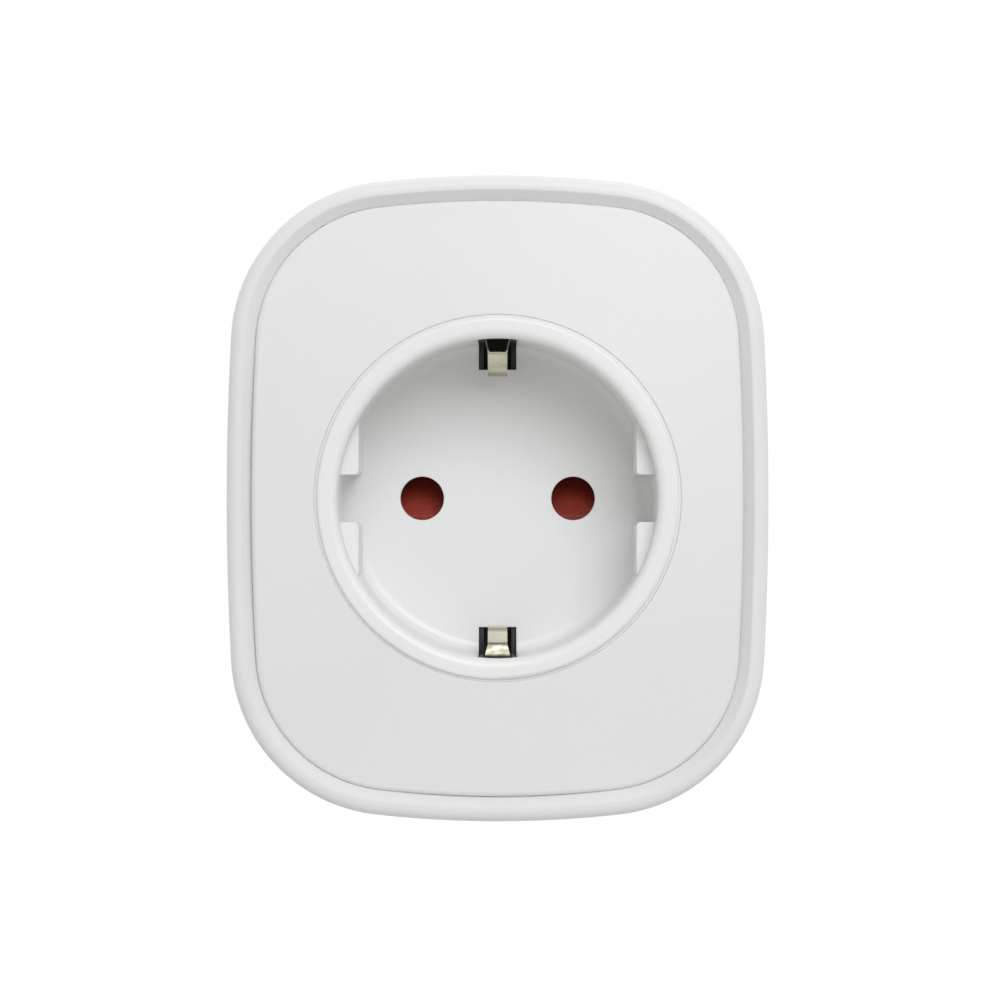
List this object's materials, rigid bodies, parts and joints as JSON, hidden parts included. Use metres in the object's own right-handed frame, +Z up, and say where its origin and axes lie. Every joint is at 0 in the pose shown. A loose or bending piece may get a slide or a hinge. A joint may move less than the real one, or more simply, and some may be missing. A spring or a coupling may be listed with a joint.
{
  "type": "smart plug",
  "caption": "Pass-through smart plug: rounded white casing, round shuttered socket well with side earth clips in front, plug boss and two round pins behind.",
  "frame": {"origin": "centre of the plug face, between the two plug pins, where it rests on the wall socket's floor", "axes": "+Y along the plug pins into the wall socket, -Y out of the front face, +Z up, pins spaced along X"},
  "size_m": [0.0667, 0.0755, 0.0788],
  "materials": {
    "housing_white": "fine matte",
    "panel_white": "fine matte",
    "insert_white": "satin",
    "base_black": "matte",
    "shutter_red": "satin",
    "spring_steel": "bright drawn",
    "nickel": "nickel plate",
    "clip_metal": "nickel over brass",
    "brass": "satin",
    "screw_steel": "black zinc",
    "board_green": "solder mask",
    "relay_blue": "satin",
    "film_yellow": "satin",
    "can_sleeve": "satin",
    "ferrite": "matte",
    "ceramic_blue": "satin",
    "fuse_brown": "satin",
    "chip_black": "matte",
    "shield_tin": "tin plate",
    "lamp_clear": "milky",
    "label_silver": "matte film",
    "carrier_grey": "matte"
  },
  "bodies": {
    "housing": {"rear_housing": "housing_white", "plug_boss": "housing_white", "front_housing": "housing_white", "face_panel": "panel_white", "socket_insert": "insert_white", "contact_base": "base_black", "shutter_spring": "spring_steel", "socket_earth_yoke": "nickel", "live_contact": "brass", "neutral_contact": "brass", "live_strap": "brass", "neutral_strap": "brass", "plug_earth_strip": "nickel", "earth_link": "brass", "plug_pin_live": "nickel", "plug_pin_neutral": "nickel", "pin_carrier": "carrier_grey", "earth_tube": "nickel", "housing_screws": "screw_steel", "base_screws": "screw_steel", "board_screws": "screw_steel", "main_board": "board_green", "relay": "relay_blue", "film_capacitor": "film_yellow", "electrolytic_capacitor": "can_sleeve", "power_inductor": "ferrite", "fuse": "fuse_brown", "varistor": "ceramic_blue", "metering_chip": "chip_black", "shunt_resistor": "shield_tin", "radio_board": "board_green", "radio_shield": "shield_tin", "smd_parts": "ceramic_blue", "status_led": "lamp_clear", "tact_switch": "chip_black", "light_pipe": "lamp_clear", "rating_label": "label_silver"},
    "shutter": {"shutter": "shutter_red"},
    "button": {"button_cap": "housing_white", "tact_plunger": "chip_black"},
    "upper_leaf": {"earth_leaf_upper": "clip_metal"},
    "lower_leaf": {"earth_leaf_lower": "clip_metal"}
  },
  "joints": [
    {"name": "shutter_slide", "type": "slide", "parent": "housing", "child": "shutter", "axis": [0, 0, -1], "range_m": [0, 0.0057], "stiffness_N_per_m": 150, "springref_m": -0.002, "deforming": ["shutter_spring"]},
    {"name": "button_press", "type": "slide", "parent": "housing", "child": "button", "axis": [-1, 0, 0], "range_m": [0, 0.0005], "stiffness_N_per_m": 3000},
    {"name": "upper_leaf_flex", "type": "hinge", "parent": "housing", "child": "upper_leaf", "pos_m": [0, -0.0529, 0.0201], "axis": [1, 0, 0], "range_deg": [0, 16], "stiffness_Nm_per_rad": 0.31},
    {"name": "lower_leaf_flex", "type": "hinge", "parent": "housing", "child": "lower_leaf", "pos_m": [0, -0.0529, -0.0201], "axis": [-1, 0, 0], "range_deg": [0, 16], "stiffness_Nm_per_rad": 0.31}
  ]
}
